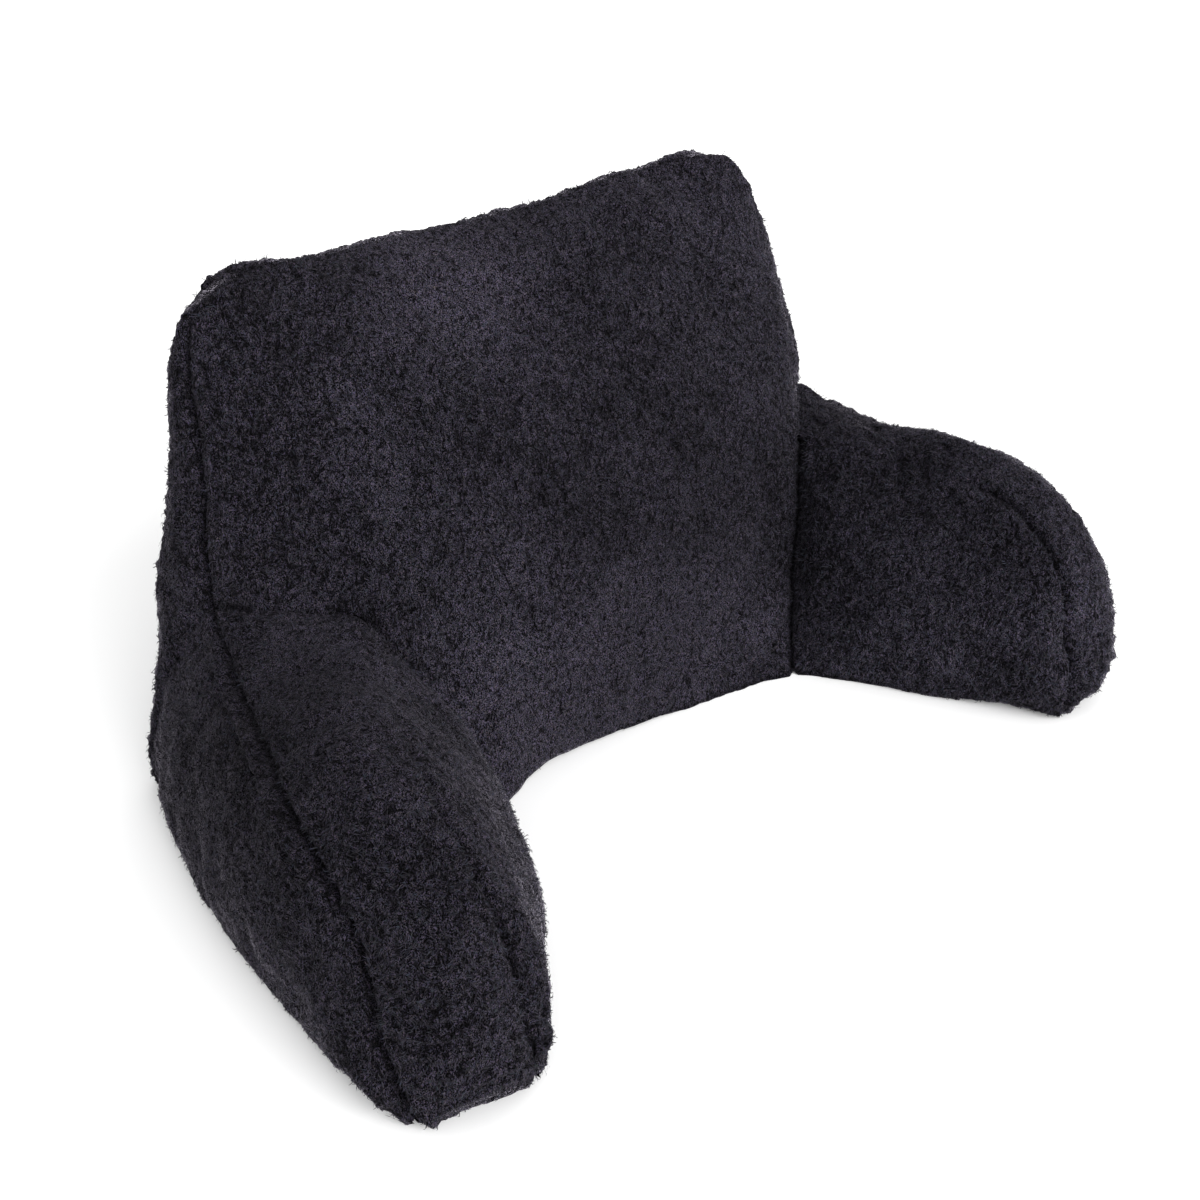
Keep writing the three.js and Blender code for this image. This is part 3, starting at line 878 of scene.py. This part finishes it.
# Fibres that stand out of the pile: how many on which panels, and the seed
FIBRES = {"fibres_backrest": (62000, BACKREST_PANELS, 5), "fibres_arms": (33000, ARM_PANELS, 6)}
FIBRE_LENGTH, FIBRE_WIDTH = 0.0042, 0.0006
FIBRE_LIFT, FIBRE_SWIRL, FIBRE_ROLL = 0.9, 0.8, 0.5
FIBRE_SPREAD, LIFT_SPREAD = (0.6, 1.3), (0.35, 1.3)  # the least and the most of these, as shares
FIBRE_LAID = 0.5  # how much less they stand up, and how much they hang, where the pile lies flat
FIBRE_SUNK = 0.0003
FIBRE_TIP = (0.2, 0.9)  # lift and lean of their outer half
FIBRE_TAPER = 0.9
# Painted shade: each fibre is darker towards its root, down in the pile
FIBRE_SHADES = np.array([0.35, 0.35, 0.85, 0.85, 0.95])  # at their corners, from root to tip
FIBRE_VARIES = (0.3, 1.4)  # the darkest, and how much paler the palest is
FIBRE_FROM = (0.2, 0.6, 0.03)  # pile height where they start, how much higher all grow, the least share
FLOW_SIZE, FLOW_SHARE, FLOW_JITTER, FLOW_SEED = 0.008, 0.8, 0.5, 40
BACK_SHARE = 0.6  # fibres on the back panel, next to 1 elsewhere


def fibres(name, count, seed, faces, shares, points, normals, level, flat):
    """Short curled fibres all over some panels, three triangles each."""
    chance = np.random.default_rng(seed)
    a, b, c, d = (points[faces[:, k]] for k in range(4))
    facing = np.cross(c - a, d - b)
    weight = np.linalg.norm(facing, axis=1) * shares
    bare, grown, least = FIBRE_FROM
    weight *= np.clip((level[faces].mean(1) - bare) / grown, least, 1)
    chosen = faces[chance.choice(len(faces), count, p=weight / weight.sum())]
    u, v = chance.random((2, count, 1))
    parts = np.stack([(1 - u) * (1 - v), u * (1 - v), u * v, (1 - u) * v], 1)
    root = (points[chosen] * parts).sum(1)
    # The pile's painted shade where the fibre stands
    height = (level[chosen] * parts[..., 0]).sum(1)
    lying = (flat[chosen] * parts[..., 0]).sum(1)[:, None]
    normal = unit((normals[chosen] * parts).sum(1))
    lean = FLOW_SHARE * drift(root, FLOW_SIZE, FLOW_SEED)
    lean = lean + (1 - FLOW_SHARE) * FLOW_JITTER * chance.normal(size=(count, 3))
    lean = lean - FIBRE_LAID * lying * UP
    lean = unit(lean - normal * (lean * normal).sum(1, keepdims=True))
    across = np.cross(normal, lean)
    side = unit(across + FIBRE_ROLL * chance.normal(size=(count, 1)) * normal)
    long = FIBRE_LENGTH * chance.uniform(*FIBRE_SPREAD, (count, 1))
    half = side * FIBRE_WIDTH * chance.uniform(*FIBRE_SPREAD, (count, 1)) / 2
    upright = 1 - FIBRE_LAID * lying
    lift = FIBRE_LIFT * chance.uniform(*LIFT_SPREAD, (count, 1)) ** 2 * upright
    swirl = FIBRE_SWIRL * chance.normal(size=(count, 1)) * upright
    start = root - FIBRE_SUNK * normal
    bend = start + (normal * lift + lean) * long / 2
    tip = bend + (normal * lift * FIBRE_TIP[0] + lean * FIBRE_TIP[1] + across * swirl) * long / 2
    thin = half * FIBRE_TAPER
    corners = np.stack([start - half, start + half, bend + thin, bend - thin, tip], 1)
    corners[..., 2] = np.maximum(corners[..., 2], LOWEST_FIBRE)
    first = np.arange(count)[:, None] * 5
    triangles = np.concatenate([first + [0, 1, 2], first + [0, 2, 3], first + [3, 2, 4]])
    mesh = new_mesh(name, corners.reshape(-1, 3), triangles)
    own = (height * (FIBRE_VARIES[0] + FIBRE_VARIES[1] * chance.random(count)))[:, None]
    set_attributes(
        mesh, pile=(own * FIBRE_SHADES).ravel(), outward=np.repeat(normal, 5, axis=0),
        backlit=np.repeat(backlit(root), 5), nap=np.repeat(nap(root), 5))
    return new_object(name, mesh)


UNDERSIDE_PILE = 0.6  # both its height and how flat it lies


def underside(points, index):
    """The flat panel that the cushion stands on, sewn to the foot of the others."""
    coarse = {name: index[name][::REFINE, ::REFINE] for name in FEET}
    used, own = np.unique(all_faces(coarse), return_inverse=True)
    mesh = new_mesh("underside", points[used], own.reshape(-1, 4))
    even = np.ones(len(used))
    set_attributes(
        mesh, pile=UNDERSIDE_PILE * even, brushed=UNDERSIDE_PILE * even, outward=np.tile(-UP, (len(used), 1)),
        backlit=0 * even, nap=even)
    return new_object("underside", mesh)


# Colours, as linear light
# The colour of the pile's gaps is painted shade; the tip colour is the fleece's own
PAINTED_GAP_SHADE = (0.0012, 0.0011, 0.0018, 1)
TIP = (0.0188, 0.0183, 0.0260, 1)
FIBRE_DARK = (0.0006, 0.0006, 0.0009, 1)
FIBRE_PALE = (0.0276, 0.0268, 0.0370, 1)
FLAT_PAINTED_LIGHT = 0.45  # how much lighter the pile is painted where it lies flat: painted sheen and light
HUES = (1.0, 0.5, 1.0)  # how much single fibres differ in red, green and blue
CLOTH_GLOSS, FIBRE_GLOSS = 0.05, 0.2
FLOOR = (0.96, 0.96, 0.96, 1)

# The pile's sheen: its weight face on, how much it grows towards the side, and how suddenly
SHEEN_FACING, SHEEN_ASIDE, SHEEN_POWER = 0.04, 0.88, 6.2
SHEEN_TINT, SHEEN_ROUGHNESS = (0.92, 0.85, 1.0, 1), 0.3

# Gaps between tufts, large and small, which darken the colour as painted shade and shape the bump: shift,
# scale, half-width, and the noise that closes them
LARGE_GAPS = (0.3, 131.0, 0.066, 200.0, (0.53, 0.64))
SMALL_GAPS = (1.7, 255.0, 0.052, 235.0, (0.52, 0.63))
GAP_STRETCH, GAP_CURL, GAP_DETAIL = 0.6, 0.6, 1.0
FLAT_CLOSES = 0.16  # how much more of them is closed where the pile lies flat
# Single fibres in the pile: their size, given by a scale, how they stretch along Z, and how they curl
STRAND_SCALE, STRAND_STRETCH, STRAND_CURL = 1350.0, 0.65, 0.5
# Shades of single fibres: partly their own differing tone, partly painted glints of light on them
STRAND_RANGE, STRAND_SHADES = (0.36, 0.64), (-0.28, 2.34)
LOOSE_SCALE = 420.0
PILE_RANGE = (-0.43, 0.9)  # the pile's painted shade values that come out darkest and palest
TUFT_BUMP, STRAND_BUMP = 0.0026, 0.0012


def node(tree, kind, **values):
    made = tree.nodes.new("ShaderNode" + kind)
    for name, value in values.items():
        if name in made.inputs:
            made.inputs[name].default_value = value
        else:
            setattr(made, name, value)
    return made


def result(tree, kind, *sources, **values):
    """What a node makes of its first sockets, each given as a value or as another node's output."""
    made = node(tree, kind, **values)
    for socket, source in zip(made.inputs, sources):
        if isinstance(source, bpy.types.NodeSocket):
            tree.links.new(source, socket)
        else:
            socket.default_value = source
    return made.outputs[0]


def maths(tree, operation, *sources):
    return result(tree, "Math", *sources, operation=operation)


def vectors(tree, operation, *sources):
    return result(tree, "VectorMath", *sources, operation=operation)


def ranged(tree, source, given, wanted):
    return result(tree, "MapRange", source, *given, *wanted)


def mottled(tree, place, **values):
    made = node(tree, "TexNoise", **values)
    tree.links.new(place, made.inputs["Vector"])
    return made


def blend(tree, share, first, second):
    made = node(tree, "Mix", data_type="RGBA")
    made.inputs[6].default_value = first
    made.inputs[7].default_value = second
    tree.links.new(share, made.inputs[0])
    return made.outputs[2]


def number(tree, name):
    """The value of a piece's attribute."""
    return node(tree, "Attribute", attribute_name=name).outputs["Fac"]


def rough_material(name, gloss):
    material = bpy.data.materials.new(name)
    material.use_nodes = True
    shader = material.node_tree.nodes["Principled BSDF"]
    shader.inputs["Roughness"].default_value = 1.0
    shader.inputs["Specular IOR Level"].default_value = gloss
    return material, material.node_tree, shader


def cloth_material(name, gloss):
    """A rough material with the sheen of pile, which is strongest towards the outline."""
    material, tree, shader = rough_material(name, gloss)
    shader.inputs["Sheen Roughness"].default_value = SHEEN_ROUGHNESS
    shader.inputs["Sheen Tint"].default_value = SHEEN_TINT
    outward = node(tree, "Attribute", attribute_name="outward")
    turned = node(tree, "LayerWeight", Blend=0.5)
    tree.links.new(outward.outputs["Vector"], turned.inputs["Normal"])
    aside = maths(tree, "POWER", turned.outputs["Facing"], SHEEN_POWER)
    aside = maths(tree, "MULTIPLY", aside, number(tree, "backlit"))
    sheen = maths(tree, "MULTIPLY_ADD", aside, SHEEN_ASIDE, SHEEN_FACING)
    tree.links.new(sheen, shader.inputs["Sheen Weight"])
    return material, tree, shader


def tinted(tree, colour, strands):
    """The colour with the slight differences between single fibres."""
    hue = vectors(tree, "MULTIPLY_ADD", strands.outputs["Color"], HUES, [1 - share / 2 for share in HUES])
    return vectors(tree, "MULTIPLY", colour, hue)


def scaled(tree, colour, total, *factors):
    for factor in factors:
        total = maths(tree, "MULTIPLY", total, factor)
    return vectors(tree, "MULTIPLY", colour, total)


def cracks(tree, place, shift, size, width, closing, shut, flat):
    """0 in winding gaps that are closed here and there, and 1 elsewhere: painted shade in the gaps, and the
    bump's height.
    """
    moved = vectors(tree, "MULTIPLY_ADD", place, (1, 1, GAP_STRETCH), (shift, shift, 0))
    line = mottled(tree, moved, Scale=size, Detail=GAP_DETAIL, Distortion=GAP_CURL)
    cover = mottled(tree, moved, Scale=closing, Detail=GAP_DETAIL)
    away = maths(tree, "ABSOLUTE", maths(tree, "SUBTRACT", line.outputs["Fac"], 0.5))
    opened = ranged(tree, away, (0, width), (0, 1))
    closed = maths(tree, "MULTIPLY_ADD", flat, FLAT_CLOSES, cover.outputs["Fac"])
    return maths(tree, "MAXIMUM", opened, ranged(tree, closed, shut, (0, 1)))


def fleece():
    """Curly pile: broken gaps, dark with painted shade, between small tufts of fine fibres."""
    material, tree, shader = cloth_material("fleece", CLOTH_GLOSS)
    join = tree.links.new
    flat = number(tree, "brushed")
    place = node(tree, "TexCoord").outputs["Object"]
    drawn = vectors(tree, "MULTIPLY", place, (1, 1, STRAND_STRETCH))
    strands = mottled(tree, drawn, Scale=STRAND_SCALE, Detail=0.0, Distortion=STRAND_CURL)
    large, small = (cracks(tree, place, *gaps, flat) for gaps in (LARGE_GAPS, SMALL_GAPS))
    tuft = maths(tree, "MULTIPLY", large, small)
    depth = ranged(tree, number(tree, "pile"), PILE_RANGE, (0, 1))
    mottle = ranged(tree, strands.outputs["Fac"], STRAND_RANGE, STRAND_SHADES)
    # Painted sheen and light: paler where the pile lies flat
    flat_painted_light = maths(tree, "MULTIPLY_ADD", flat, FLAT_PAINTED_LIGHT, 1 - FLAT_PAINTED_LIGHT / 2)
    # Painted shade in the pile's low places and gaps, painted glints in the strands, and painted light and
    # shade in patches
    shade = scaled(tree, blend(tree, depth, PAINTED_GAP_SHADE, TIP), mottle, tuft, flat_painted_light, number(tree, "nap"))
    join(tinted(tree, shade, strands), shader.inputs["Base Color"])
    tuft_bump = node(tree, "Bump", Strength=1.0, Distance=TUFT_BUMP)
    strand_bump = node(tree, "Bump", Strength=1.0, Distance=STRAND_BUMP)
    join(tuft, tuft_bump.inputs["Height"])
    join(strands.outputs["Fac"], strand_bump.inputs["Height"])
    join(tuft_bump.outputs["Normal"], strand_bump.inputs["Normal"])
    join(strand_bump.outputs["Normal"], shader.inputs["Normal"])
    return material


def fibre_material():
    """Single fibres, paler towards their tips, with painted shade towards their roots and in the pile's gaps.
    """
    material, tree, shader = cloth_material("fleece_fibres", FIBRE_GLOSS)
    place = node(tree, "TexCoord").outputs["Object"]
    strands = mottled(tree, place, Scale=LOOSE_SCALE, Detail=1.0)
    shade = scaled(tree, blend(tree, number(tree, "pile"), FIBRE_DARK, FIBRE_PALE), number(tree, "nap"))
    tree.links.new(tinted(tree, shade, strands), shader.inputs["Base Color"])
    return material


FLOOR_REACH = 40.0
SKY = 1.0
KEY_FROM, KEY_SPREAD, KEY_POWER = Vector((0.10, -1.0, 0.42)), math.radians(60), 4.0
CAMERA_TARGET = Vector((-0.0527, -0.0049, 0.1525))
CAMERA_AZIMUTH, CAMERA_ELEVATION = math.radians(-39.34), math.radians(33.50)
CAMERA_DISTANCE = 1.1206
CAMERA_LENS = 43.43


def studio():
    """A white floor, even light from all round, a large soft light in front, and the camera."""
    corners = np.array([[-1, -1, 0], [1, -1, 0], [1, 1, 0], [-1, 1, 0]]) * FLOOR_REACH
    floor = new_object("floor", new_mesh("floor", corners, np.array([[0, 1, 2, 3]])))
    paint, _, shader = rough_material("studio_floor", 0.0)
    shader.inputs["Base Color"].default_value = FLOOR
    floor.data.materials.append(paint)
    world = bpy.data.worlds.new("studio")
    world.use_nodes = True
    sky = world.node_tree.nodes["Background"]
    sky.inputs["Color"].default_value = (1, 1, 1, 1)
    sky.inputs["Strength"].default_value = SKY
    bpy.context.scene.world = world
    lamp = bpy.data.lights.new("softbox", "SUN")
    lamp.angle = KEY_SPREAD
    lamp.energy = KEY_POWER
    key = new_object("softbox", lamp)
    key.rotation_euler = KEY_FROM.to_track_quat("Z", "Y").to_euler()
    camera = new_object("camera", bpy.data.cameras.new("camera"))
    camera.data.lens = CAMERA_LENS
    level = math.cos(CAMERA_ELEVATION)
    away = Vector((
        math.sin(CAMERA_AZIMUTH) * level, -math.cos(CAMERA_AZIMUTH) * level, math.sin(CAMERA_ELEVATION)))
    camera.location = CAMERA_TARGET + away * CAMERA_DISTANCE
    camera.rotation_euler = away.to_track_quat("Z", "Y").to_euler()
    bpy.context.scene.camera = camera
    bpy.context.scene.view_settings.view_transform = "Standard"


def build():
    skin = patches()
    points, index = welded(skin)
    points = with_pushes(with_uneven_arms(with_round_toes(with_uneven_foot(points))))
    points = with_rolled_crest(points, index)
    points = puffed(points, index)
    skin = {name: points[index[name]] for name in skin}
    points, index = welded(finer(skin))
    surface = covered(points, index)
    panels = {**BACKREST_PANELS, **ARM_PANELS}
    pieces = {name: panel_piece(name, all_faces(index, grids), *surface) for name, grids in panels.items()}
    pieces["underside"] = underside(surface[0], index)
    pale = fibre_material()
    dark = fleece()
    for piece in pieces.values():
        piece.data.materials.append(dark)
    for name, (count, panels, seed) in FIBRES.items():
        grids = sum(panels.values(), ())
        shares = np.concatenate([
            np.full(len(faces_of(index, grid)), BACK_SHARE if grid == "back" else 1.0) for grid in grids])
        pieces[name] = fibres(name, count, seed, all_faces(index, grids), shares, *surface)
        pieces[name].data.materials.append(pale)
    for piece in pieces.values():
        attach(piece, "root")
    for name in BACKREST_PANELS:
        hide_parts("backrest")
    for hand in HANDS:
        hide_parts("arm_" + hand)
        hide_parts("arm_" + hand)


studio()
build()
